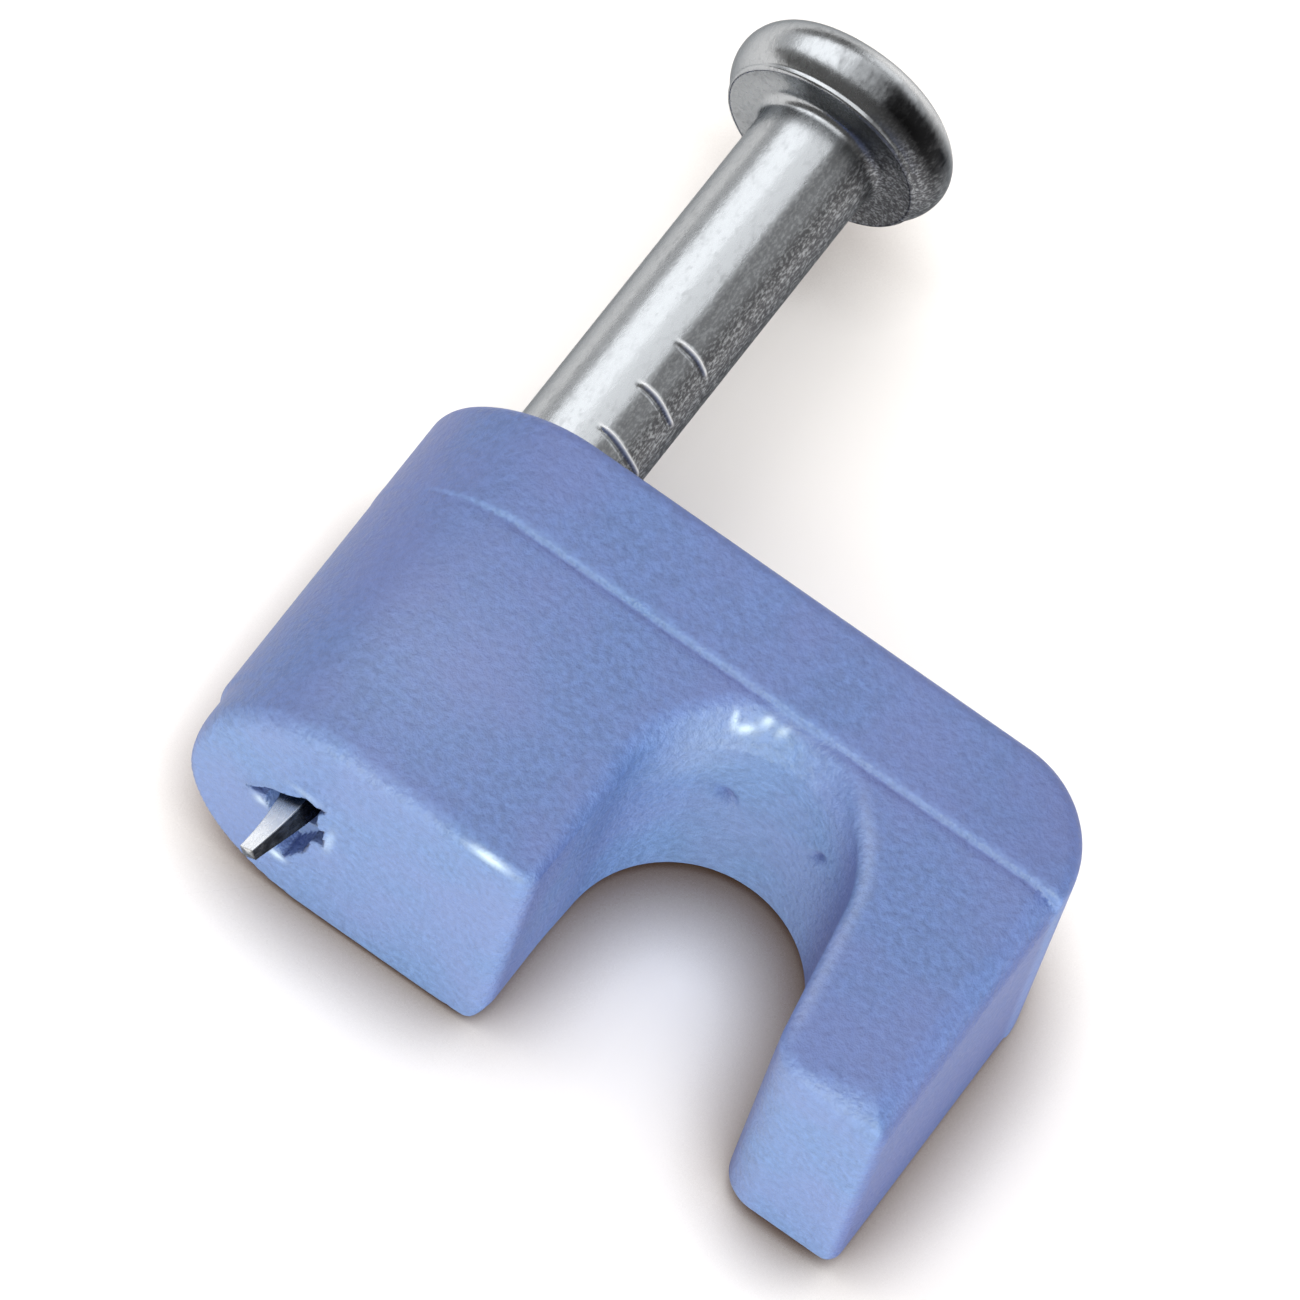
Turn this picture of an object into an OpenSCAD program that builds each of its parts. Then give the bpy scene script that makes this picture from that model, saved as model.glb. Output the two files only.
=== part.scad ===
// Nail-in cable clip, lying on its side as it is picked from the box.
// X runs from the nail to the hook leg, Y from the wall face to the nail head, Z along the cable.
// The origin is where the nail's axis meets the wall face, halfway through the clip's thickness.

/* [Clip body] */
// Height of the clip from the wall face to its top
body_h = 8.1; // [7:0.1:12]
// Thickness of the body along the cable
body_t = 6.1; // [4.8:0.05:9]
// Distance from the nail's axis to the tip of the round nose
nose_reach = 2.35; // [2:0.05:2.8]
// Distance from the nail's axis to the groove wall of the column
column_reach = 4.7; // [3.4:0.1:7]
// Length of the leg's foot along the wall, from the groove mouth to its outer face
foot_len = 2.5; // [1.8:0.05:4]
// Radius of the small rounding along the outer edges
edge_r = 0.3; // [0.1:0.05:0.4]

/* [Top band] */
// Height of the raised band along the top
band_h = 2.25; // [2.15:0.05:2.4]
// How far the band stands out past the body on its two faces
band_proud = 0.12; // [0.05:0.01:0.3]
// How far the band stands out past the nose and the leg
band_end_proud = 0.03; // [0.02:0.01:0.2]
// Radius of the rounded corner above the leg
corner_r = 2.05; // [0.6:0.05:2.1]

/* [Cable groove] */
// Diameter of the groove
groove_d = 4.7; // [4:0.1:8]
// Depth of the groove from the wall face to the top of its arch
groove_depth = 5.35; // [4.4:0.05:5.4]
// Slant of the leg's inner face, which opens the groove towards the wall
mouth_slant = 10; // [2:1:16]
// Radius of the rounding at the foot's inner corner
foot_r = 0.7; // [0.3:0.05:1]
// Width of the flared rim at the two ends of the groove
rim_w = 0.35; // [0.15:0.05:0.45]

/* [Nail] */
// Diameter of the shank
shank_d = 2.5; // [1.8:0.1:2.8]
// Length of the nail from its point to the crown of its head
nail_len = 20; // [18:0.5:32]
// How far the point stands out past the wall face
point_reach = 1.25; // [1:0.05:1.8]
// Length of the tapered point
point_len = 5; // [3.6:0.1:5.4]
// Width of the point's blunt tip across its corners
tip_d = 0.4; // [0.2:0.05:0.5]
// Largest diameter of the head
head_d = 4.65; // [4.2:0.05:5.6]
// How far the flat seat under the head is set in from the widest ring
seat_in = 0.275; // [0.2:0.025:0.3]
// Height of the head from its seat to its crown
head_h = 1.6; // [1.4:0.05:1.8]
// Height of the head's widest ring above its seat
head_wide_h = 0.75; // [0.6:0.05:0.85]
// Radius of the domed crown
crown_r = 6; // [4:0.5:12]
// Number of grip marks across the shank
grip_count = 3; // [1:1:5]
// Distance from the wall face to the first grip mark
grip_y = 9.3; // [8.6:0.1:10.5]
// Spacing of the grip marks along the shank
grip_pitch = 1.2; // [0.6:0.1:1.4]
// Depth of the grip marks
grip_depth = 0.06; // [0.03:0.01:0.12]
// Angle that a grip mark covers around the shank
grip_arc = 65; // [30:5:120]
// Direction of the grip marks around the shank, from the leg's side towards the front
grip_turn = 52; // [0:1:90]

/* [Nail hole] */
// Radial room between the hole and the shank
hole_clearance = 0.02; // [0.01:0.01:0.05]
// Thickness of the skin under the hole, which the point has torn open
skin_t = 0.35; // [0.2:0.05:0.5]
// Room around the point where the skin is torn open
tear_room = 0.08; // [0.05:0.01:0.15]
// Length of the longest split, which runs on past that room
split_len = 0.44; // [0.3:0.02:0.5]

/* [Hidden] */
$fn = 96;
OVER = 0.5;
RIM_SET = 0.9;
CROSS = 0.004;
FLAT = cos(45);

shank_r = shank_d / 2;
tip_r = tip_d / 2;
seat_h = nail_len - head_h;
groove_r = groove_d / 2;
groove_x = column_reach + groove_r;
groove_y = groove_depth - groove_r;
mouth_x = groove_x + groove_r + groove_y * tan(mouth_slant);
body_end = mouth_x + foot_len;
ledge_y = body_h - band_h;
band_t = body_t + 2 * band_proud;
band_end = body_end + band_end_proud;
band_tip = -nose_reach - band_end_proud;

// The torn hole: direction around the nail's axis in degrees and share of the longest split there
TEAR = [
    [10, 0.12], [40, 0.58], [66, 0.08], [118, 0.19], [160, 0.1], [196, 1],
    [208, 0.12], [250, 0.23], [284, 0.15], [312, 0.96], [338, 0.23]
];

// Shape cut away to round a corner at the origin whose solid lies at negative x and y
module corner_cut(r) {
    translate([-r, -r]) difference() {
        square(r + OVER);
        circle(r);
    }
}

// Half section of a bar, from its middle plane out to half its thickness, rounded along one edge
module bar_half(t, h, round_top) {
    difference() {
        square([t / 2, h]);
        translate([t / 2, round_top ? h : 0]) mirror([0, round_top ? 0 : 1]) corner_cut(edge_r);
    }
}

// Straight bar along X with a round nose, standing between two heights above the wall
module nosed_bar(tip, end, t, y0, y1, round_top) {
    nose_x = tip + t / 2;
    translate([nose_x, y0, 0]) {
        rotate([-90, 0, 0]) rotate([0, 0, 90]) rotate_extrude(angle = 180) bar_half(t, y1 - y0, round_top);
        rotate([0, 90, 0]) linear_extrude(end - nose_x) for (side = [0, 1])
            mirror([side, 0]) bar_half(t, y1 - y0, round_top);
    }
}

// Cut that rounds an upright edge of the leg's end
module upright_edge(x, z, y0, y1) {
    translate([x, y1, z]) rotate([90, 0, 0]) linear_extrude(y1 - y0) corner_cut(edge_r);
}

// Corner of the foot between its slanted inner face and the wall, cut away to round it
module foot_corner() {
    along = foot_r * tan((90 - mouth_slant) / 2);
    up = along * [-sin(mouth_slant), cos(mouth_slant)];
    out = OVER * [-cos(mouth_slant), -sin(mouth_slant)];
    difference() {
        polygon([[along, -OVER], [along, foot_r], up, up + out, [-OVER, -OVER]]);
        translate([along, foot_r]) circle(foot_r + CROSS);
    }
}

// Outline of the groove with its slanted mouth, the rounded foot and the column's rounded inner corner
module groove_outline() {
    translate([groove_x, groove_y]) circle(groove_r);
    polygon([
        [column_reach, -OVER],
        [column_reach, groove_y],
        [groove_x + groove_r, groove_y],
        [mouth_x + OVER * tan(mouth_slant), -OVER]
    ]);
    translate([mouth_x, 0]) foot_corner();
    translate([column_reach, 0]) mirror([0, 1]) corner_cut(edge_r);
}

// Section of the flare along the groove's rim: an arc that leaves the wall and the face at a slight angle
module rim_section() {
    arc_r = rim_w / (RIM_SET - sqrt(1 - RIM_SET * RIM_SET));
    difference() {
        translate([-OVER, -rim_w]) square(rim_w + OVER);
        translate(RIM_SET * arc_r * [1, -1]) circle(arc_r);
    }
}

// Flare at one end of the groove: round the arch, down the column and down the leg
module groove_rim() {
    translate([groove_x, groove_y, body_t / 2]) {
        rotate_extrude() translate([groove_r, 0]) rim_section();
        rotate([90, 0, 0]) linear_extrude(groove_y + OVER) translate([-groove_r, 0]) mirror([1, 0]) rim_section();
        translate([groove_r, 0, 0]) rotate([90, 0, mouth_slant]) translate([0, 0, -OVER])
            linear_extrude(groove_y / cos(mouth_slant) + OVER) rim_section();
    }
}

// Rounded end of the band and the leg
module end_rounding() {
    translate([0, 0, -band_t]) linear_extrude(2 * band_t) {
        translate([band_end, body_h]) corner_cut(corner_r);
        translate([body_end, 0]) mirror([0, 1]) corner_cut(edge_r);
    }
    for (side = [0, 1]) mirror([0, 0, side]) {
        translate([band_end - corner_r, body_h - corner_r, band_t / 2]) rotate_extrude(angle = 90)
            translate([corner_r, 0]) corner_cut(edge_r);
        upright_edge(band_end, band_t / 2, ledge_y, body_h - corner_r);
        upright_edge(body_end, body_t / 2, -OVER, ledge_y);
    }
}

// Reach of the point's four corners from the nail's axis, at a height above its tip
function point_at(h) = tip_r + (shank_r - tip_r) * h / point_len;

// Hole for the nail, open at the top and torn through the skin at the wall
module nail_hole() {
    point_r = point_at(point_reach + skin_t) + tear_room;
    rotate([-90, 0, 0]) {
        translate([0, 0, skin_t]) cylinder(h = body_h, r = shank_r + hole_clearance);
        translate([0, 0, -OVER]) linear_extrude(skin_t + 2 * OVER)
            polygon([for (p = TEAR) (point_r + p[1] * split_len) * [cos(p[0]), -sin(p[0])]]);
    }
}

module clip_body() {
    color("cornflowerblue") difference() {
        union() {
            nosed_bar(-nose_reach, body_end, body_t, 0, ledge_y, false);
            nosed_bar(band_tip, band_end, band_t, ledge_y, body_h, true);
        }
        translate([0, 0, -band_t]) linear_extrude(2 * band_t) groove_outline();
        for (side = [0, 1]) mirror([0, 0, side]) groove_rim();
        end_rounding();
        nail_hole();
    }
}

// Wedge across the nail's axis whose two slanted faces cut two of the point's four faces
module point_wedge(turn) {
    reach = seat_h + 2 * OVER;
    tip_half = FLAT * point_at(-tip_r);
    end_half = FLAT * point_at(reach);
    rotate([0, turn, 0]) translate([0, 0, -shank_d]) linear_extrude(2 * shank_d)
        polygon([[-tip_half, -tip_r], [tip_half, -tip_r], [end_half, reach], [-end_half, reach]]);
}

// Round shank with a four-sided point and a blunt tip, standing on the tip
module shank() {
    intersection() {
        rotate([-90, 0, 0]) cylinder(h = seat_h + OVER, r = shank_r);
        point_wedge(45);
        point_wedge(-45);
    }
}

// Ring sector that presses one grip mark into the side of the shank
module grip_mark() {
    rotate([-90, 0, 0]) rotate([0, 0, -grip_turn - grip_arc / 2]) rotate_extrude(angle = grip_arc)
        translate([shank_r, 0]) circle(grip_depth);
}

// Domed head with a flat seat and a bulging rim
module head() {
    bulge_r = (head_wide_h * head_wide_h + seat_in * seat_in) / (2 * seat_in);
    bulge_x = head_d / 2 - bulge_r;
    rotate([-90, 0, 0]) rotate_extrude() intersection() {
        square([head_d, head_h]);
        union() {
            square([bulge_x, head_h]);
            translate([bulge_x, head_wide_h]) circle(bulge_r);
        }
        translate([0, head_h - crown_r]) circle(crown_r);
    }
}

module nail() {
    color("silver") translate([0, -point_reach, 0]) {
        difference() {
            shank();
            for (i = [0 : grip_count - 1])
                translate([0, point_reach + grip_y + i * grip_pitch, 0]) grip_mark();
        }
        translate([0, seat_h, 0]) head();
    }
}

clip_body();
nail();
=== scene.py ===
"""Nail-in cable clip: a moulded blue plastic clip with a plated steel nail pressed through its column.

X runs from the nail to the hook leg, Y from the wall face to the nail head and Z along the cable, with the
origin where the nail's axis meets the wall face. Shapes are worked out in millimetres and put into the meshes
in metres.
"""

import bpy
import numpy as np
from bpy.props import FloatProperty, FloatVectorProperty, IntProperty, PointerProperty
from mathutils import Matrix, Vector


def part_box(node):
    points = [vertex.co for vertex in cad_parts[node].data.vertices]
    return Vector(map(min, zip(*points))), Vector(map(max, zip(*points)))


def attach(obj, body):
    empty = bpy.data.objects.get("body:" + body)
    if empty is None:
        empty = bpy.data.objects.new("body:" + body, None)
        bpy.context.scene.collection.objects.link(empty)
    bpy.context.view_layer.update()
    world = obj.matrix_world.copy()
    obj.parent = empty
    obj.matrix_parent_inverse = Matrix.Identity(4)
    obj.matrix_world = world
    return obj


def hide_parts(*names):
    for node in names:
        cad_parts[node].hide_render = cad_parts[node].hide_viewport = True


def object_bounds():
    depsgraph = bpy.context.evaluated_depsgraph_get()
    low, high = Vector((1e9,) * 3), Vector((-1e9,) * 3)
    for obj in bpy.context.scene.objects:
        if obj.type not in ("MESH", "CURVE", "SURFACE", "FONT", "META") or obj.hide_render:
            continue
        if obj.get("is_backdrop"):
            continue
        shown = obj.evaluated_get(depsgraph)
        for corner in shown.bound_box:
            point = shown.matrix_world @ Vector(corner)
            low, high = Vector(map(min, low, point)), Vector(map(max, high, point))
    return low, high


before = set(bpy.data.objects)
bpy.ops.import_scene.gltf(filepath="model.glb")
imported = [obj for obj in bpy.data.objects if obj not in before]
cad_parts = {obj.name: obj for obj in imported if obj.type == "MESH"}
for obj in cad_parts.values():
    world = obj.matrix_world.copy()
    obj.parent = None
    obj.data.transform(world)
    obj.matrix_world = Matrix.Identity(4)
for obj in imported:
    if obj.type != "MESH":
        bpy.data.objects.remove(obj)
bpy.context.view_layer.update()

bl_info = {
    "name": "Nail-in cable clip",
    "version": (1, 0, 0),
    "blender": (4, 5, 0),
    "location": "View3D > Sidebar > Cable clip",
    "description": "Builds a moulded cable clip, its nail and a small studio around them",
    "category": "Object",
}

MM = 0.001
BODY_LOW, BODY_HIGH = (np.array(corner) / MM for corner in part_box("clip_body"))
NAIL_LOW, NAIL_HIGH = (np.array(corner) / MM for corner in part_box("nail"))


def length(name, description, default):
    """A size in metres, given here in millimetres."""
    return FloatProperty(name=name, description=description, default=float(default) * MM, unit="LENGTH",
                         precision=5)


def angle(name, description, default):
    """An angle in radians, given here in degrees."""
    return FloatProperty(name=name, description=description, default=float(np.radians(default)),
                         subtype="ANGLE")


def tint(name, description, default):
    """A linear colour."""
    return FloatVectorProperty(name=name, description=description, default=default, size=3, subtype="COLOR",
                               min=0.0, max=1.0)


class ClipBodySizes(bpy.types.PropertyGroup):
    height: length("Height", "From the wall face to the top of the band", BODY_HIGH[1])
    front: length("Front", "From the nail's axis to the front face", 2.9)
    back: length("Back", "From the nail's axis to the back face", 3.2)
    nose_reach: length("Nose reach", "From the nail's axis to the tip of the nose", 2.36)
    leg_end: length("Leg end", "From the nail's axis to the outer face of the leg, at its foot", 12.52)
    leg_lean: angle("Leg lean", "Lean of the leg's outer face away from upright", 0.6875)
    band_proud: length("Band proud", "How far the band stands out past the two faces", 0.12)
    band_height: length("Band height", "From the ledge to the top", 2.25)
    band_end: length("Band end", "From the nail's axis to the band's end", BODY_HIGH[0])
    corner_radius: length("Corner radius", "Of the rounded corner above the leg", 2.2)
    groove_x: length("Groove place", "From the nail's axis to the middle of the groove", 7.05)
    groove_y: length("Groove height", "From the wall face to the middle of the arch", 3.0)
    groove_radius: length("Groove radius", "Of the arch that the cable lies in", 2.35)
    leg_slant: angle("Leg slant", "Lean of the leg's inner face towards its outer face", 10)
    foot_radius: length("Foot radius", "Of the rounding at the foot's inner corner", 0.7)
    hole_radius: length("Hole radius", "Of the hole that holds the nail", 1.27)
    skin: length("Skin", "Thickness left under the hole, which the nail's point tears open", 0.35)
    pitch: length("Mesh pitch", "Spacing of the grid that the surface is found on", 0.083)


class NailSizes(bpy.types.PropertyGroup):
    shank_radius: length("Shank radius", "Of the straight shank", 1.25)
    tip: length("Tip", "How far the point stands out past the wall face", -NAIL_LOW[1])
    crown: length("Crown", "From the wall face to the top of the head", NAIL_HIGH[1])
    point_length: length("Point length", "Over which the point's four edges reach the shank", 5.0)
    tip_radius: length("Tip radius", "Of the point's blunt tip, at its corners", 0.2)
    point_turn: angle("Point turn", "Of the point's four faces about the nail's axis", -18)
    head_radius: length("Head radius", "At the widest ring of the head", NAIL_HIGH[0])
    head_height: length("Head height", "From the seat to the crown", 1.6)
    seat_inset: length("Seat inset", "Of the flat seat from the widest ring", 0.25)
    around: IntProperty(name="Faces around", description="Of the mesh", default=192, min=24, max=512)


class ClipLooks(bpy.types.PropertyGroup):
    plastic: tint("Plastic", "Colour of the moulded body", (0.088, 0.138, 0.318))
    # Pale plastic is also the colour of the painted glints and highlights on the plastic.
    plastic_pale: tint("Pale plastic", "Colour where the plastic is stretched and torn", (0.62, 0.70, 0.86))
    zinc: tint("Zinc", "Colour of the plated nail", (0.41, 0.43, 0.45))
    # Dark zinc is also the colour of the nail's painted dark side and painted shade patches.
    zinc_dark: tint("Dark zinc", "Colour of the nail's dull patches", (0.118, 0.12, 0.128))
    # Bare steel is also the colour of the painted highlights on the nail's head and point.
    bare_steel_and_highlight: tint("Bare steel", "Colour of the ridges where the plating is rubbed off", (0.82, 0.83, 0.84))
    floor: tint("Floor", "Colour of the pale floor", (0.94, 0.91, 0.88))
    # Floor shade is the colour of the painted contact shadow on the floor.
    floor_shade: tint("Floor shade", "Colour of the floor right beside the clip", (0.12, 0.06, 0.03))


class StudioSettings(bpy.types.PropertyGroup):
    azimuth: angle("Azimuth", "Of the camera, from -Y towards +X", 15.64)
    elevation: angle("Elevation", "Of the camera above the floor", 63)
    roll: angle("Roll", "Turn of the picture", 20.87)
    distance: length("Distance", "From the camera to the middle of the picture", 463.0)
    aim_right: length("Aim right", "Middle of the picture to the right of the origin", 6.444)
    aim_up: length("Aim up", "Middle of the picture above the origin", 2.876)
    lens: FloatProperty(name="Lens", description="Focal length on a 36 mm sensor", default=708.4,
                        unit="CAMERA")


# Shapes as distance fields: negative inside, in millimetres

def both(a, b, r):
    """Inside a and inside b, the edge between them rounded to radius r:
    min(max(a, b), -r) + |(max(a + r, 0), max(b + r, 0))|."""
    return np.minimum(np.maximum(a, b), -r) + np.hypot(np.maximum(a + r, 0), np.maximum(b + r, 0))


def either(a, b, r):
    """Inside a or inside b, the inner corner between them filled to radius r: both() turned inside out."""
    return -both(-a, -b, r)


def step(low, high, v):
    """Smooth step from 0 at low to 1 at high: 3t^2 - 2t^3."""
    t = np.clip((v - low) / (high - low), 0, 1)
    return t * t * (3 - 2 * t)


def hill(*pairs):
    """Bell of height 1: exp(-sum((distance / reach)^2)) over the given pairs."""
    return np.exp(-sum((d / reach) ** 2 for d, reach in pairs))


# Outline of the hole that the nail's point tore through the skin: x and z of its corners
TEAR = np.array([
    (-1.02, -0.30), (-0.46, 0.24), (-0.13, 0.40), (0.165, 0.66), (0.58, 0.68), (0.44, 0.32), (0.54, -0.12),
    (0.66, 0.02), (0.76, -0.58), (0.50, -0.71), (0.42, -1.30), (0.12, -1.84), (-0.06, -1.76), (-0.10, -1.05),
    (-0.34, -0.62), (-0.52, -0.30), (-0.56, -0.14), (-0.74, -0.18),
])

# Whitened flecks beside the tear: x, z, reach along x, reach along z, strength
FLECKS = (
    (0.84, -0.30, 0.08, 0.40, 0.20),
    (-0.02, -2.00, 0.16, 0.12, 0.50),
    (-0.64, -0.47, 0.14, 0.13, 0.40),
    (0.10, 0.78, 0.30, 0.09, 0.15),
)

# Flake of flash: its middle in X and Y, the direction it runs in, and its bells, each with its place along
# and across that direction, its reach along and across, and its height
FLAKE_MIDDLE = (5.97, 5.44)
FLAKE_RUN = (0.826, 0.563)
FLAKE_BELLS = (
    (-0.12, -0.05, 0.17, 0.06, 1.0),
    (-0.33, 0.06, 0.06, 0.11, 0.8),
    (0.25, 0.02, 0.10, 0.07, 0.8),
    (0.54, -0.14, 0.10, 0.06, 0.5),
)

# Bell at the groove's front end: turn about the groove's middle in degrees, reach at that turn, and depth
BELL_TURN = (-180, -90, 30, 52, 72, 92, 118, 140, 160, 180)
BELL_REACH = (0.02, 0.0, 0.02, 0.1, 0.34, 0.46, 0.56, 0.36, 0.16, 0.02)
BELL_DEPTH = 0.95


def tear_distance(x, z):
    """Distance from the ragged outline of the tear, negative inside it: the least distance to its edges, its
    sign from the parity of the edges passed along +X."""
    best = np.full(np.broadcast(x, z).shape, np.inf)
    inside = np.zeros(best.shape, bool)
    for (ax, az), (bx, bz) in zip(TEAR, np.roll(TEAR, -1, axis=0)):
        ex, ez = bx - ax, bz - az
        t = np.clip(((x - ax) * ex + (z - az) * ez) / (ex * ex + ez * ez), 0, 1)
        best = np.minimum(best, np.hypot(x - ax - t * ex, z - az - t * ez))
        crosses = (az > z) != (bz > z)
        inside ^= crosses & (x < ax + (z - az) * ex / np.where(ez == 0, 1e-9, ez))
    return np.where(inside, -best, best)


class ClipShape:
    """The moulded body as a distance field built from its sizes."""

    column_corner = 0.4
    end_edge = 0.3
    band_edge = 0.3
    ledge_fillet = 0.03
    gap_overlap = 0.3
    band_overlap = 0.25
    tear_overlap = 0.2
    nose_inset = 0.13
    nose_step = 1.05
    lip_height = 0.07
    lip_reach = 0.14
    flake_height = 0.025
    mark_depths = (0.15, 0.11)

    def __init__(self, sizes):
        for name in ClipBodySizes.__annotations__:
            setattr(self, name, getattr(sizes, name) / MM)
        self.leg_slant, self.leg_lean = sizes.leg_slant, sizes.leg_lean
        self.half = (self.front + self.back) / 2
        self.middle = (self.front - self.back) / 2
        self.ledge = self.height - self.band_height

    def groove(self, x, y, z):
        """Cable groove: a circle, the upright gap below its left half and the slanted gap below its right
        half. Its front end opens out like a bell, most of all at the top left of the arch, where it reaches
        the ledge."""
        u, v = x - self.groove_x, y - self.groove_y
        c, s = np.cos(self.leg_slant), np.sin(self.leg_slant)
        circle = np.hypot(u, v) - self.groove_radius
        left = np.maximum(np.maximum(-u - self.groove_radius, u - self.gap_overlap), v)
        right = np.maximum(-u - self.gap_overlap, u * c + v * s - self.groove_radius)
        right = np.maximum(right, v * c - u * s)
        groove = np.minimum(circle, np.minimum(left, right))
        bell = np.interp(np.degrees(np.arctan2(v, u)), BELL_TURN, BELL_REACH)
        return groove - bell * np.clip((z - self.front + BELL_DEPTH) / BELL_DEPTH, 0, 1.1)

    def end(self, x, y):
        """Distance past the leg's leaning outer face."""
        return (x - self.leg_end) * np.cos(self.leg_lean) + y * np.sin(self.leg_lean)

    def rounding(self, x, y, z, groove):
        """Radius of the edge between the two faces and the outline: along the groove's rim and along the
        wall, each by its share of the nearness, and softer at the front of the leg's end."""
        v = y - self.groove_y
        column = step(self.groove_x + 1, self.groove_x - 1, x)
        rim_front = 0.24 + 0.2 * column * step(0.3, 2.6, y) * step(2.2, 0.6, v)
        rim_back = 0.36 + 0.5 * column * step(0.5, -1.5, v)
        wall_front = 0.44 - 0.1 * step(-1.0, 3.5, x)
        wall_back = 0.10 + 0.42 * step(7.0, 9.5, x)
        near = np.clip(groove, 0.01, None)
        share = near / (near + np.clip(y, 0.01, None))
        front = rim_front + (wall_front - rim_front) * share + 0.4 * step(10.4, 12.0, x)
        back = rim_back + (wall_back - rim_back) * share
        return back + (front - back) * step(-1.0, 1.0, z - self.middle)

    def field(self, x, y, z):
        """Body and band, each a flat outline in X and Y met by a slab with a round nose, less the nail's
        hole."""
        groove = self.groove(x, y, z)
        torn = tear_distance(x, z)
        wave = 0.6 + 0.4 * np.sin(5 * x + 7 * z)
        lip = self.lip_height * hill((np.maximum(torn, 0), self.lip_reach)) * wave
        corner = self.column_corner + (self.foot_radius - self.column_corner) * step(7.0, 9.0, x)
        outline = both(both(-y - lip, -groove, corner), self.end(x, y), self.end_edge)
        depth = z - self.middle
        nose_x = self.half - self.nose_reach
        nose = np.clip((nose_x - x) / self.half, 0, 1)
        inset = self.nose_inset * nose ** 8 * step(self.nose_step + 0.07, self.nose_step - 0.07, y)
        slab = np.hypot(np.minimum(x - nose_x, 0), depth) - self.half + inset
        low = both(slab, outline, self.rounding(x, y, z, groove))
        low = np.maximum(low, y - self.ledge - self.band_overlap)
        flat = step(0.8, 0.1, nose)
        band_slab = np.hypot(np.minimum(x - nose_x + 0.01, 0), depth) - self.half - self.band_proud * flat
        top = both(y - self.height, x - self.band_end, self.corner_radius)
        band = both(band_slab, top, self.band_edge)
        band = both(band, self.ledge - y, 0.02 + 0.1 * flat)
        body = either(low, band, self.ledge_fillet) - self.flake_height * self.flash(x, y, z)
        for mark, deep in zip(self.dimples(x, y, z), self.mark_depths):
            body = body + deep * mark
        hole = np.maximum(np.hypot(x, z) - self.hole_radius, self.skin - y)
        hole = np.minimum(hole, np.maximum(torn, y - self.skin - self.tear_overlap))
        return np.maximum(body, -hole)

    def flash(self, x, y, z):
        """Small flake of flash on the arch's rim below the ledge, 1 along its bent edge: bells in a row."""
        a, b = x - FLAKE_MIDDLE[0], y - FLAKE_MIDDLE[1]
        run, rise = FLAKE_RUN
        along, across = run * a + rise * b, run * b - rise * a
        bells = sum(h * hill((along - p, rp), (across - q, rq)) for p, q, rp, rq, h in FLAKE_BELLS)
        return bells * step(2.1, 2.5, z)

    def dimples(self, x, y, z):
        """Two marks on the arch's ceiling, where the mould closes, 1 at their middles: bells drawn out along
        slanting lines."""
        s, w = x - 6.09, z - 0.08
        first = hill((0.45 * s - 0.89 * w, 0.34), (0.89 * s + 0.45 * w, 0.13), (y - 5.15, 0.5))
        s, w = x - 8.10, z - 0.28
        second = hill((0.46 * s + 0.89 * w, 0.3), (0.89 * s - 0.46 * w, 0.08), (y - 5.10, 0.5))
        return first, second

    def whitening(self, x, y, z):
        """How far the plastic is whitened or painted light: whitened in flecks by the tear and on the flake
        of flash, painted glints where the two edges at the wall catch the light and, faintly, painted
        highlights on the column's front, the leg's rim and the arch."""
        groove, ahead = self.groove(x, y, z), z - self.front
        flecks = sum(h * hill((x - p, rp), (z - q, rq)) for p, q, rp, rq, h in FLECKS) * step(0.25, 0.02, y)
        # Painted glints: the front edges at the wall are made pale where they catch the light.
        edge = hill((y - 0.09, 0.075), (ahead + 0.1, 0.075))
        painted_glint = edge * (0.6 * hill((x - 3.75, 0.36)) + 0.55 * hill((x - 11.92, 0.22)))
        # Faint painted highlights: the column's front, the leg's rim and the top left of the arch are made
        # paler where light falls on them.
        column = 0.05 * hill((x - 0.4, 2.4), (y - 2.6, 2.2)) * step(-0.6, -0.1, ahead)
        rim = hill((groove - 0.16, 0.14)) * step(8.0, 9.0, x) * step(0.3, 1.2, y) * step(-0.35, -0.15, ahead)
        arch = hill((x - 5.3, 0.8), (y - 4.7, 0.9)) * step(-0.02, -0.3, ahead) * step(0.5, 1.5, z)
        painted_light = column + 0.09 * rim + 0.06 * arch
        return np.clip(flecks + painted_glint + painted_light + 0.55 * self.flash(x, y, z), 0, 1)

    def dusk(self, x, y, z):
        """Painted shade: how far the plastic is painted darker where shade falls: on the groove's two inner
        walls, as a shadow line along the root of the ledge, on the leg's end, towards the band's end and in
        the two marks."""
        groove = self.groove(x, y, z)
        # Painted shade on the groove's inner walls, a painted shadow line under the ledge, and painted shade
        # on the leg's end, towards the band's end and in the marks' hollows.
        leg = hill((groove, 0.15)) * step(8.2, 9.2, x) * step(-0.1, -0.4, z - self.front)
        column = hill((groove, 0.12)) * step(5.4, 5.0, x) * step(1.8, 0.2, y) * step(0.0, 0.35, y)
        root = hill((y - self.ledge + 0.09, 0.08)) * step(-1.0, 0.5, x) * step(12.4, 12.0, x)
        end = step(-0.2, -0.03, self.end(x, y)) * step(self.ledge, self.ledge - 0.4, y)
        band = step(8.0, 12.0, x) * step(self.ledge, self.ledge + 0.3, y)
        marks = np.maximum(*self.dimples(x, y, z))
        painted_dark = 0.65 * leg + 0.45 * column + 0.45 * root + 0.6 * end + 0.2 * band + 0.8 * marks
        return np.clip(painted_dark, 0, 1)


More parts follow.
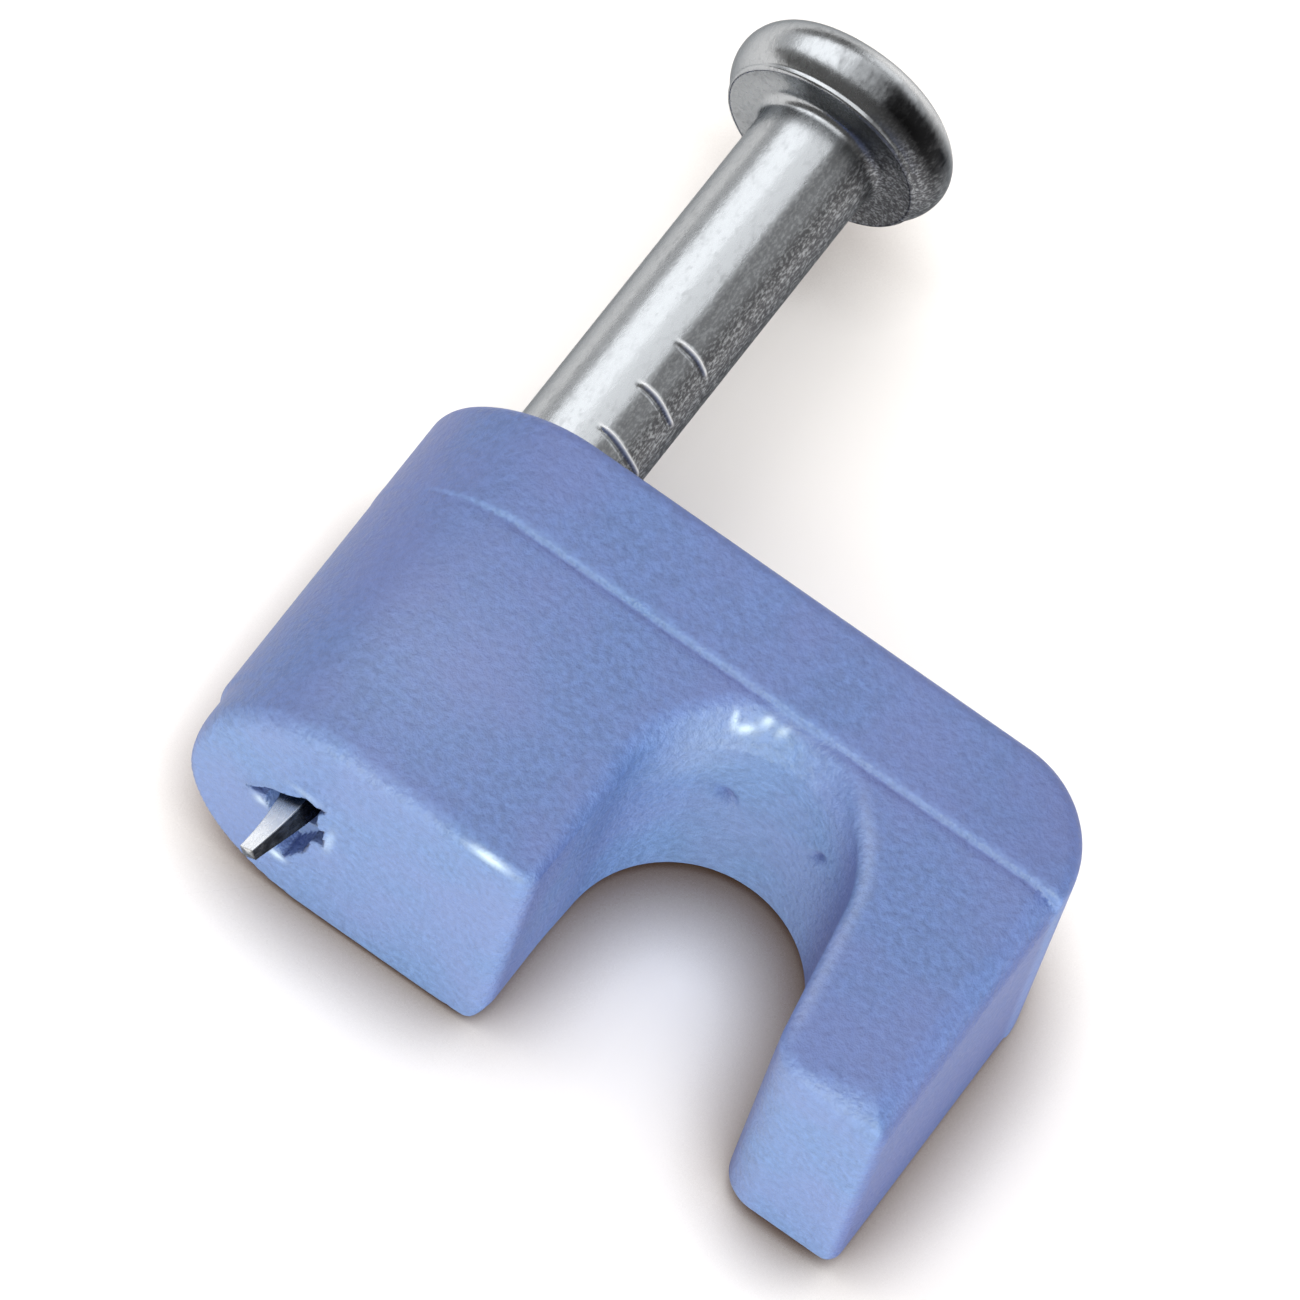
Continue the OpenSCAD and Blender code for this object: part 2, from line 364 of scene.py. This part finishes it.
def surface_net(field, low, high, pitch):
    """Closed surface where the field is zero: one vertex in each grid cell that the surface crosses, at the
    mean of its edge crossings, and one quad around each crossed grid edge. Returns (vertices, quads)."""
    axes = [np.arange(a, b + pitch, pitch) for a, b in zip(low, high)]
    grid = field(axes[0][:, None, None], axes[1][None, :, None], axes[2][None, None, :])
    inside = grid < 0
    counts = np.array(grid.shape)
    corners = np.array([(i, j, k) for i in (0, 1) for j in (0, 1) for k in (0, 1)])
    total = sum(inside[i:counts[0] - 1 + i, j:counts[1] - 1 + j, k:counts[2] - 1 + k].astype(np.int8)
                for i, j, k in corners)
    cells = np.argwhere((total > 0) & (total < 8))
    number = np.full(counts - 1, -1, np.int64)
    number[tuple(cells.T)] = np.arange(len(cells))
    values = np.stack([grid[tuple((cells + c).T)] for c in corners], axis=1)
    place = np.zeros((len(cells), 3))
    hits = np.zeros(len(cells))
    for a in range(8):
        for b in range(a + 1, 8):
            if np.abs(corners[a] - corners[b]).sum() != 1:
                continue
            crossed = (values[:, a] < 0) != (values[:, b] < 0)
            t = np.where(crossed, values[:, a] / np.where(crossed, values[:, a] - values[:, b], 1.0), 0.0)
            place += crossed[:, None] * (corners[a] + t[:, None] * (corners[b] - corners[a]))
            hits += crossed
    verts = np.array([a[0] for a in axes]) + pitch * (cells + place / hits[:, None])
    quads = []
    for axis in range(3):
        u, v = np.eye(3, dtype=int)[(axis + 1) % 3], np.eye(3, dtype=int)[(axis + 2) % 3]
        first = inside[tuple(slice(0, -1) if d == axis else slice(1, -1) for d in range(3))]
        second = inside[tuple(slice(1, None) if d == axis else slice(1, -1) for d in range(3))]
        for leaving in (True, False):
            at = np.argwhere((first & ~second) if leaving else (~first & second)) + u + v
            ring = [at - u - v, at - v, at, at - u] if leaving else [at - u - v, at - u, at, at - v]
            quads.append(np.stack([number[tuple(r.T)] for r in ring], axis=1))
    return verts, np.concatenate(quads)


def slope(field, points, reach=0.004):
    """Gradient of the field at the points by central differences."""
    shifts = np.eye(3) * reach
    return np.stack([(field(*(points + s).T) - field(*(points - s).T)) / (2 * reach) for s in shifts], axis=1)


def settle(field, points, pitch, passes=3):
    """Moves points onto the field's zero along its gradient: p - f g / |g|^2, at most half a pitch a pass."""
    for _ in range(passes):
        g = slope(field, points)
        move = -field(*points.T)[:, None] * g / np.maximum((g * g).sum(1, keepdims=True), 0.05)
        far = np.linalg.norm(move, axis=1, keepdims=True)
        points = points + move * np.minimum(1, 0.5 * pitch / np.maximum(far, 1e-9))
    return points


def put_mesh(name, verts, faces, normals=None, **attributes):
    """Mesh object at the origin from millimetre arrays, smooth shaded, with named values on its vertices."""
    mesh = bpy.data.meshes.new(name)
    mesh.from_pydata((verts * MM).tolist(), [], faces)
    mesh.polygons.foreach_set("use_smooth", np.ones(len(mesh.polygons), bool))
    for key, values in attributes.items():
        layer = mesh.attributes.new(key, "FLOAT", "POINT")
        layer.data.foreach_set("value", np.asarray(values, np.float32))
    if normals is not None:
        mesh.normals_split_custom_set_from_vertices(normals.tolist())
    mesh.update()
    piece = bpy.data.objects.new(name, mesh)
    bpy.context.scene.collection.objects.link(piece)
    return piece


# Materials

class Nodes:
    """Small helper that adds nodes to a material and links them by socket."""

    def __init__(self, name):
        self.material = bpy.data.materials.new(name)
        self.material.use_nodes = True
        self.tree = self.material.node_tree
        self.shader = self.tree.nodes["Principled BSDF"]

    def add(self, kind, inputs=(), **settings):
        """New node with its inputs linked or set, and its own settings."""
        node = self.tree.nodes.new(kind)
        for key, value in settings.items():
            setattr(node, key, value)
        for key, value in dict(inputs).items():
            self.give(node.inputs[key], value)
        return node

    def give(self, socket, value):
        """Links a socket to another one, or sets it to a plain value."""
        if isinstance(value, bpy.types.NodeSocket):
            self.tree.links.new(value, socket)
        else:
            socket.default_value = value

    def value(self, name):
        """Value that the mesh carries on its vertices under a name."""
        return self.add("ShaderNodeAttribute", attribute_name=name).outputs["Fac"]

    def noise(self, where, scale, detail=2.0, roughness=0.5):
        """Noise from 0 to 1, its scale in waves per metre."""
        inputs = {"Vector": where, "Scale": scale, "Detail": detail, "Roughness": roughness}
        return self.add("ShaderNodeTexNoise", inputs).outputs["Fac"]

    def ramp(self, value, low, high, to_low=0.0, to_high=1.0):
        """Straight ramp from to_low at low to to_high at high, level beyond them."""
        inputs = {"Value": value, "From Min": low, "From Max": high, "To Min": to_low, "To Max": to_high}
        return self.add("ShaderNodeMapRange", inputs).outputs["Result"]

    def mix(self, share, first, second):
        """Colour between the first and the second by a share."""
        node = self.add("ShaderNodeMix", data_type="RGBA")
        self.give(node.inputs[0], share)
        self.give(node.inputs[6], first)
        self.give(node.inputs[7], second)
        return node.outputs[2]

    def math(self, operation, first, second):
        """Result of one operation on two values."""
        return self.add("ShaderNodeMath", {0: first, 1: second}, operation=operation).outputs[0]

    def bump(self, height, strength, distance, normal=None):
        """Normal turned by a height, over another normal where one is given."""
        inputs = {"Height": height, "Strength": strength, "Distance": distance}
        if normal is not None:
            inputs["Normal"] = normal
        return self.add("ShaderNodeBump", inputs).outputs["Normal"]


def shade(rgb, factor=1.0):
    """Colour with alpha, darker or lighter by a factor."""
    return (rgb[0] * factor, rgb[1] * factor, rgb[2] * factor, 1.0)


def moulded_plastic(looks):
    """Matte blue plastic: fine grain as bump and as small changes of colour, paler where it is stretched or
    torn and at painted glints and highlights, with painted shade on the groove's walls, in its corners and on
    the leg's end."""
    n = Nodes("blue_plastic")
    where = n.add("ShaderNodeTexCoord").outputs["Object"]
    cloud = n.noise(where, 420.0, 3.0)
    mottle = n.noise(where, 6500.0, 3.0, 0.6)
    grain = n.noise(where, 7000.0, 3.0, 0.6)
    blue = n.mix(n.ramp(mottle, 0.36, 0.64), shade(looks.plastic, 0.86), shade(looks.plastic, 1.13))
    purple = (looks.plastic[0] * 1.3, looks.plastic[1] * 0.98, looks.plastic[2])
    blue = n.mix(n.ramp(cloud, 0.38, 0.62, 0.0, 0.45), blue, shade(purple))
    # Shaded copy of the plastic: the colour of the painted shade.
    painted_dark = (looks.plastic[0] * 0.55, looks.plastic[1] * 0.42, looks.plastic[2] * 0.6)
    blue = n.mix(n.value("dusk"), blue, shade(painted_dark))
    # Pale plastic where it is whitened, also used for the painted glints and highlights.
    n.give(n.shader.inputs["Base Color"], n.mix(n.value("whitening"), blue, shade(looks.plastic_pale)))
    n.give(n.shader.inputs["Roughness"], n.ramp(mottle, 0.3, 0.7, 0.44, 0.58))
    n.shader.inputs["Specular IOR Level"].default_value = 0.42
    coarse = n.bump(n.noise(where, 2600.0, 2.0), 0.4, 0.00004)
    n.give(n.shader.inputs["Normal"], n.bump(grain, 0.9, 0.00005, coarse))
    return n.material


def zinc_plate(looks):
    """Zinc-plated steel: bright metal with dark flecks, duller than the rest, drawn out along the shank, a
    painted dark reflection speckled along one side of the shank, ragged painted shade patches, bare metal on
    the grip marks' ridges, painted highlights on the head and the point and a fine uneven surface."""
    n = Nodes("zinc_plate")
    where = n.add("ShaderNodeTexCoord").outputs["Object"]
    drawn = n.add("ShaderNodeMapping", {"Vector": where, "Scale": (1.0, 0.45, 1.0)}).outputs["Vector"]
    fleck = n.noise(drawn, 9000.0, 4.0, 0.6)
    cloud = n.noise(drawn, 1100.0, 3.0)
    patches = n.math("MULTIPLY", n.ramp(fleck, 0.54, 0.8), n.ramp(cloud, 0.4, 0.7, 0.2, 0.9))
    # Painted dark reflection along one side of the shank, speckled with bright zinc and a little rougher.
    painted_dark_side = n.value("painted_dark")
    speck = n.ramp(n.noise(drawn, 20000.0, 3.0, 0.6), 0.46, 0.66)
    zinc = n.mix(patches, shade(looks.zinc), shade(looks.zinc_dark, 1.6))
    zinc = n.mix(painted_dark_side, zinc, n.mix(speck, shade(looks.zinc_dark), shade(looks.zinc)))
    # Painted shade patches: dark reflection and shadow painted on the head, the point and inside the clip.
    ragged = n.math("ADD", n.value("painted_shade_patches"), n.ramp(fleck, 0.3, 0.7, -0.1, 0.1))
    zinc = n.mix(n.ramp(ragged, 0.1, 1.0), zinc, shade(looks.zinc_dark, 0.2))
    # Bare metal on the grip marks' ridges and painted highlights on the head and the point.
    bare_and_highlight = n.value("bare_and_highlight")
    n.give(n.shader.inputs["Base Color"], n.mix(bare_and_highlight, zinc, shade(looks.bare_steel_and_highlight)))
    n.give(n.shader.inputs["Metallic"], n.ramp(bare_and_highlight, 0.0, 1.0, 1.0, 0.25))
    n.shader.inputs["Specular Tint"].default_value = shade(looks.zinc, 0.8)
    rougher = n.ramp(painted_dark_side, 0.0, 1.0, 0.0, 0.16)
    n.give(n.shader.inputs["Roughness"], n.math("ADD", n.ramp(fleck, 0.3, 0.7, 0.22, 0.32), rougher))
    rough = n.bump(n.noise(drawn, 1500.0, 2.0), 0.08, 0.00006)
    n.give(n.shader.inputs["Normal"], n.bump(fleck, 0.16, 0.00003, rough))
    return n.material


def pale_floor(looks):
    """Plain pale floor with the faintest unevenness, and a painted warm contact shadow close to what stands
    on it.
    """
    n = Nodes("pale_floor")
    where = n.add("ShaderNodeTexCoord").outputs["Object"]
    plain = n.mix(n.noise(where, 60.0, 2.0), shade(looks.floor, 0.995), shade(looks.floor))
    # Painted contact shadow: the floor turns to the shade colour where ambient occlusion finds the clip close
    # by.
    room = n.add("ShaderNodeAmbientOcclusion", {"Distance": 0.0023}, samples=8).outputs["AO"]
    n.give(n.shader.inputs["Base Color"], n.mix(n.ramp(room, 0.3, 0.92), shade(looks.floor_shade), plain))
    n.shader.inputs["Roughness"].default_value = 0.9
    n.shader.inputs["Specular IOR Level"].default_value = 0.1
    return n.material


# Room that the body's grid leaves around it, and the reach over which its normals are measured
ROOM_BELOW, ROOM_ABOVE = 0.5, 0.45
NORMAL_REACH = 0.02


class CLIP_OT_body(bpy.types.Operator):
    """Build the moulded clip body"""
    bl_idname = "cable_clip.body"
    bl_label = "Clip body"

    def execute(self, context):
        scene = context.scene
        shape = ClipShape(scene.clip_body_sizes)
        low, high = BODY_LOW - ROOM_BELOW, BODY_HIGH + ROOM_ABOVE
        verts, quads = surface_net(shape.field, low, high, shape.pitch)
        verts = settle(shape.field, verts, shape.pitch)
        normals = slope(shape.field, verts, NORMAL_REACH)
        normals /= np.maximum(np.linalg.norm(normals, axis=1, keepdims=True), 1e-9)
        piece = put_mesh("clip_shell", verts, quads.tolist(), normals,
                         whitening=shape.whitening(*verts.T), dusk=shape.dusk(*verts.T))
        piece.data.materials.append(moulded_plastic(scene.clip_looks))
        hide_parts("clip_body")
        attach(piece, "root")
        return {"FINISHED"}


# Heights of the grip marks above the wall face
GRIP_MARKS = (9.3, 10.5, 11.66)


def nail_profile(sizes):
    """Radius and height along the nail from its tip to its crown: the point and shank as a straight run, a
    small fillet under the head, the flat seat, a crisp edge, the bulging rim and the low dome on top."""
    r, tip, crown = sizes.shank_radius / MM, sizes.tip / MM, sizes.crown / MM
    head_r, head_h, inset = sizes.head_radius / MM, sizes.head_height / MM, sizes.seat_inset / MM
    seat = crown - head_h
    fillet, edge, rim_r, widest, dome = 0.2, 0.07, 0.80, 0.72, 0.16
    point = np.concatenate([np.geomspace(0.004, 1.0, 36), np.linspace(1.1, 5.8, 40)])
    marks = np.concatenate([np.linspace(m - 0.22, m + 0.22, 30) for m in GRIP_MARKS])
    plain = np.linspace(4.7, seat - fillet - 0.02, 90)
    plain = plain[np.abs(plain[:, None] - np.array(GRIP_MARKS)).min(1) > 0.23]
    heights = np.sort(np.concatenate([point - tip, plain, marks]))
    runs = [np.stack([np.full_like(heights, r), heights], 1)]
    a = np.linspace(0, np.pi / 2, 9)[1:]
    runs.append(np.stack([r + fillet * (1 - np.cos(a)), seat - fillet + fillet * np.sin(a)], 1))
    flat = np.linspace(r + fillet + 0.06, head_r - inset - edge, 12)
    along = (flat - flat[0]) / (flat[-1] - flat[0])
    runs.append(np.stack([flat, seat + 0.02 * np.sin(along * np.pi)], 1))
    a = np.linspace(-np.pi / 2, -0.30, 8)
    runs.append(np.stack([head_r - inset - edge + edge * np.cos(a), seat + edge + edge * np.sin(a)], 1))
    a = np.linspace(-1.0, np.pi / 2, 44)[2:]
    rim_h = np.where(a < 0, rim_r, head_h - widest - dome)
    runs.append(np.stack([head_r - rim_r + rim_r * np.cos(a), seat + widest + rim_h * np.sin(a)], 1))
    t = np.linspace(0, 1, 20)[1:]
    runs.append(np.stack([(head_r - rim_r) * (1 - t * 0.98), crown - dome * (1 - t) ** 2], 1))
    return np.concatenate(runs)


def grip_mark(i, front, height):
    """Share of the turn that a grip mark covers, between two angles in degrees that close in from mark to
    mark, and the height above its slightly wavy line."""
    share = step(14 + 6 * i, 24 + 6 * i, front) * (1 - step(74 - 4 * i, 86 - 4 * i, front))
    return share, height - GRIP_MARKS[i] - 0.02 * np.sin(front / 9 + i)


def nail_surface(sizes):
    """The profile turned about Y. Along the point the radius is the lesser of the shank's and that of a
    square spike with a blunt tip, (a + b (h / length)^1.3) / max|cos(turn - 45 deg + n 90 deg)|, and the tip
    is bent a little aside. The grip marks are narrow ridges beside grooves over a part of the turn. Returns
    the rings of points and the wear and painted light at each point."""
    profile = nail_profile(sizes)
    turn = np.linspace(0, 2 * np.pi, sizes.around, endpoint=False)[None, :]
    radius, height = profile[:, :1], profile[:, 1:]
    r, tip_r = sizes.shank_radius / MM, sizes.tip_radius / MM
    rise = np.maximum(height + sizes.tip / MM, 0)
    aside = turn - np.pi / 4 - sizes.point_turn
    face = np.maximum(np.abs(np.cos(aside)), np.abs(np.sin(aside)))
    spike = (tip_r + (r - tip_r) * (rise / (sizes.point_length / MM)) ** 1.3) / np.sqrt(2) / face
    radius = np.where(radius <= r + 1e-6, np.minimum(radius, spike), radius * np.ones_like(turn))
    front = np.degrees((turn + np.pi) % (2 * np.pi) - np.pi)
    for i in range(len(GRIP_MARKS)):
        share, above = grip_mark(i, front, height)
        radius = radius + share * (0.03 * hill((above, 0.04)) - 0.03 * hill((above + 0.09, 0.05)))
    seat = (sizes.crown - sizes.head_height) / MM
    lump = 1 + 0.006 * np.sin(3 * turn + 0.7) + 0.004 * np.sin(5 * turn + 2.1)
    radius = np.where(height > seat + 0.01, radius * lump, radius)
    bent = -0.16 * np.clip(1 - rise / 1.3, 0, 1) ** 1.5
    level = np.broadcast_to(height, radius.shape)
    rings = np.stack([radius * np.cos(turn) + bent, level, radius * np.sin(turn)], -1)
    return rings, nail_wear_and_painted_light(sizes, front, height)


def nail_wear_and_painted_light(sizes, front, height):
    """Three values at each point, from its direction about the axis in degrees and its height. Painted dark:
    a painted dark reflection, speckled, on one side of the shank. Bare and highlight: bare metal on the
    ridges of the grip marks, and painted highlights on the upper rim of the head and one face of the point.
    Painted shade
    patches: painted dark reflection on the lower rim of the head, a painted shadow ring around its crown, and
    painted shade on the next face of the point and inside the clip."""
    crown = sizes.crown / MM
    seat = crown - sizes.head_height / MM
    # Painted dark reflection, speckled, on one side of the shank.
    painted_dark = (0.45 * step(75, 70, front) + 0.55 * step(60, 40, front)) * step(-95, -50, front)
    painted_dark = painted_dark * step(2.0, 4.0, height) * step(seat + 1.15, seat + 0.35, height)
    # Painted shade: a dark reflection patch on the head's lower rim, a painted shadow ring around the crown,
    # a dark face of the point and darkness inside the clip.
    patch = step(-8, 32, front) * step(120, 60, front)
    patch = patch * step(seat + 0.1, seat + 0.45, height) * step(seat + 1.15, seat + 0.7, height)
    ring = 0.5 * hill((height - crown + 0.25, 0.06))
    side = 0.9 * step(72, 66, front) * step(-28, -18, front) * step(0.9, 0.3, height)
    inside = 0.9 * step(-0.25, 0.05, height) * step(3.0, 2.0, height)
    painted_shade_patches = np.maximum(np.maximum(patch, ring), np.maximum(side, inside))
    # Painted highlights: a bright band on the head's upper rim and on one face of the point.
    painted_highlight = 0.5 * step(-25, 10, front) * step(105, 75, front) * hill((height - seat - 1.15, 0.13))
    face = 0.6 * step(66, 74, front) * step(166, 158, front) * step(0.0, -0.4, height)
    bare_and_highlight = np.maximum(painted_highlight, face)
    for i in range(len(GRIP_MARKS)):
        share, above = grip_mark(i, front, height)
        bare_and_highlight = np.maximum(bare_and_highlight, share * hill((above, 0.035)))
    return {"painted_dark": painted_dark, "bare_and_highlight": bare_and_highlight, "painted_shade_patches": painted_shade_patches}


class CLIP_OT_nail(bpy.types.Operator):
    """Build the plated nail"""
    bl_idname = "cable_clip.nail"
    bl_label = "Nail"

    def execute(self, context):
        scene = context.scene
        rings, wear_and_painted_light = nail_surface(scene.nail_sizes)
        rows, around = rings.shape[:2]
        number = np.arange(rows * around).reshape(rows, around)
        ahead = np.roll(number, -1, axis=1)
        quads = np.stack([number[:-1], number[1:], ahead[1:], ahead[:-1]], -1).reshape(-1, 4)
        ends = np.stack([rings[0].mean(0), rings[-1].mean(0)])
        tip, crown = np.full(around, rows * around), np.full(around, rows * around + 1)
        fans = [np.stack([number[0], ahead[0], tip], -1), np.stack([ahead[-1], number[-1], crown], -1)]
        faces = quads.tolist() + np.concatenate(fans).tolist()
        wear_and_painted_light = {name: np.append(values, [0, 0]) for name, values in wear_and_painted_light.items()}
        piece = put_mesh("nail_shell", np.concatenate([rings.reshape(-1, 3), ends]), faces, **wear_and_painted_light)
        piece.data.materials.append(zinc_plate(scene.clip_looks))
        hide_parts("nail")
        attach(piece, "root")
        return {"FINISHED"}


def camera_axes(studio):
    """Right, up and backward directions of the camera from its azimuth, elevation and roll."""
    az, el, roll = studio.azimuth, studio.elevation, studio.roll
    back = Vector((np.sin(az) * np.cos(el), -np.cos(az) * np.cos(el), np.sin(el)))
    level = Vector((np.cos(az), np.sin(az), 0.0))
    rise = back.cross(level)
    right = np.cos(roll) * level + np.sin(roll) * rise
    return right, -np.sin(roll) * level + np.cos(roll) * rise, back


def soft_light(name, place, aim, size, power, colour):
    """Rectangular soft light at a place, turned to face a point."""
    data = bpy.data.lights.new(name, "AREA")
    data.shape = "RECTANGLE"
    data.size, data.size_y = size
    data.energy = power
    data.color = colour
    light = bpy.data.objects.new(name, data)
    light.location = place
    light.rotation_euler = (Vector(aim) - light.location).to_track_quat("-Z", "Y").to_euler()
    bpy.context.scene.collection.objects.link(light)
    return light


WHITE = (1.0, 1.0, 1.0)

# Soft lights: place, the point faced, width and length in metres, power in watts and colour
LIGHTS = {
    "key_panel": ((-0.4875, 0.22, 0.40), (-0.4875, 0.22, 0.0), (0.735, 0.75), 3.6, WHITE),
    "key_edge": ((0.0375, 0.22, 0.40), (0.0375, 0.22, 0.0), (0.315, 0.75), 1.05, WHITE),
    "front_panel": ((0.10, -0.40, 0.34), (0.005, 0.0, 0.0), (0.9, 0.45), 2.75, WHITE),
    "left_card": ((-0.62, 0.12, 0.14), (0.0, 0.01, 0.0), (0.5, 0.26), 0.25, WHITE),
    "right_card": ((0.55, 0.32, 0.30), (0.0, 0.01, 0.0), (0.5, 0.4), 0.25, WHITE),
    "back_card": ((0.25, 0.75, 0.25), (0.0, 0.015, 0.0), (0.9, 0.4), 1.7, WHITE),
    "floor_wash": ((0.0, 0.0, 0.5), (0.0, 0.0, 0.0), (1.2, 1.2), 1.2, WHITE),
    "low_fill": ((0.16, -0.44, 0.07), (0.005, 0.0, 0.0), (0.6, 0.3), 4.7, (0.91, 1.0, 0.68)),
    "groove_fill": ((0.5, -0.10, 0.01), (0.005, 0.0, 0.0), (0.4, 0.2), 1.25, (0.32, 0.62, 1.0)),
}
AIR_COLOUR = (1.0, 0.95, 0.9, 1.0)
AIR_STRENGTH = 0.15
FLOOR_REACH = 1500
FLOOR_GAP = 0.01
SENSOR_WIDTH = 36.0


class CLIP_OT_studio(bpy.types.Operator):
    """Build the pale floor, the soft lights and the camera"""
    bl_idname = "cable_clip.studio"
    bl_label = "Studio"

    def execute(self, context):
        scene = context.scene
        studio = scene.clip_studio
        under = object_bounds()[0][2] / MM - FLOOR_GAP
        sides = np.array([(-1, -1, 0), (1, -1, 0), (1, 1, 0), (-1, 1, 0)])
        floor = put_mesh("floor", FLOOR_REACH * sides + (0, 0, under), [(0, 1, 2, 3)])
        floor.data.materials.append(pale_floor(scene.clip_looks))
        floor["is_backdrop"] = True
        lights = {name: soft_light(name, *settings) for name, settings in LIGHTS.items()}
        lights["front_panel"].visible_glossy = False
        shell = scene.objects["clip_shell"]
        for name, lit in (("floor_wash", floor), ("low_fill", shell), ("groove_fill", shell)):
            light = lights[name]
            light.data.use_shadow = False
            light.light_linking.receiver_collection = bpy.data.collections.new(f"lit_by_{name}")
            light.light_linking.receiver_collection.objects.link(lit)
        world = bpy.data.worlds.new("studio_air")
        world.use_nodes = True
        air = world.node_tree.nodes["Background"]
        air.inputs["Color"].default_value = AIR_COLOUR
        air.inputs["Strength"].default_value = AIR_STRENGTH
        scene.world = world
        right, up, back = camera_axes(studio)
        data = bpy.data.cameras.new("photo_camera")
        data.lens = studio.lens
        data.sensor_fit = "HORIZONTAL"
        data.sensor_width = SENSOR_WIDTH
        camera = bpy.data.objects.new("photo_camera", data)
        camera.matrix_world = Matrix((right, up, back)).transposed().to_4x4()
        camera.location = studio.aim_right * right + studio.aim_up * up + studio.distance * back
        scene.collection.objects.link(camera)
        scene.camera = camera
        scene.view_settings.view_transform = "Standard"
        scene.view_settings.look = "None"
        return {"FINISHED"}


class CLIP_PT_panel(bpy.types.Panel):
    """Lists the pieces of the cable clip"""
    bl_label = "Cable clip"
    bl_idname = "CLIP_PT_panel"
    bl_space_type = "VIEW_3D"
    bl_region_type = "UI"
    bl_category = "Cable clip"

    def draw(self, context):
        for operator in OPERATORS:
            self.layout.operator(operator.bl_idname)
        for owner in SETTINGS:
            box = self.layout.box()
            for name in SETTINGS[owner].__annotations__:
                box.prop(getattr(context.scene, owner), name)


SETTINGS = {
    "clip_body_sizes": ClipBodySizes,
    "nail_sizes": NailSizes,
    "clip_looks": ClipLooks,
    "clip_studio": StudioSettings,
}
OPERATORS = (CLIP_OT_body, CLIP_OT_nail, CLIP_OT_studio)


def register():
    for group in (*SETTINGS.values(), *OPERATORS, CLIP_PT_panel):
        bpy.utils.register_class(group)
    for name, group in SETTINGS.items():
        setattr(bpy.types.Scene, name, PointerProperty(type=group))


def unregister():
    for name in SETTINGS:
        delattr(bpy.types.Scene, name)
    for group in reversed((*SETTINGS.values(), *OPERATORS, CLIP_PT_panel)):
        bpy.utils.unregister_class(group)


def main():
    register()
    bpy.ops.cable_clip.body()
    bpy.ops.cable_clip.nail()
    bpy.ops.cable_clip.studio()


if __name__ == "__main__":
    main()
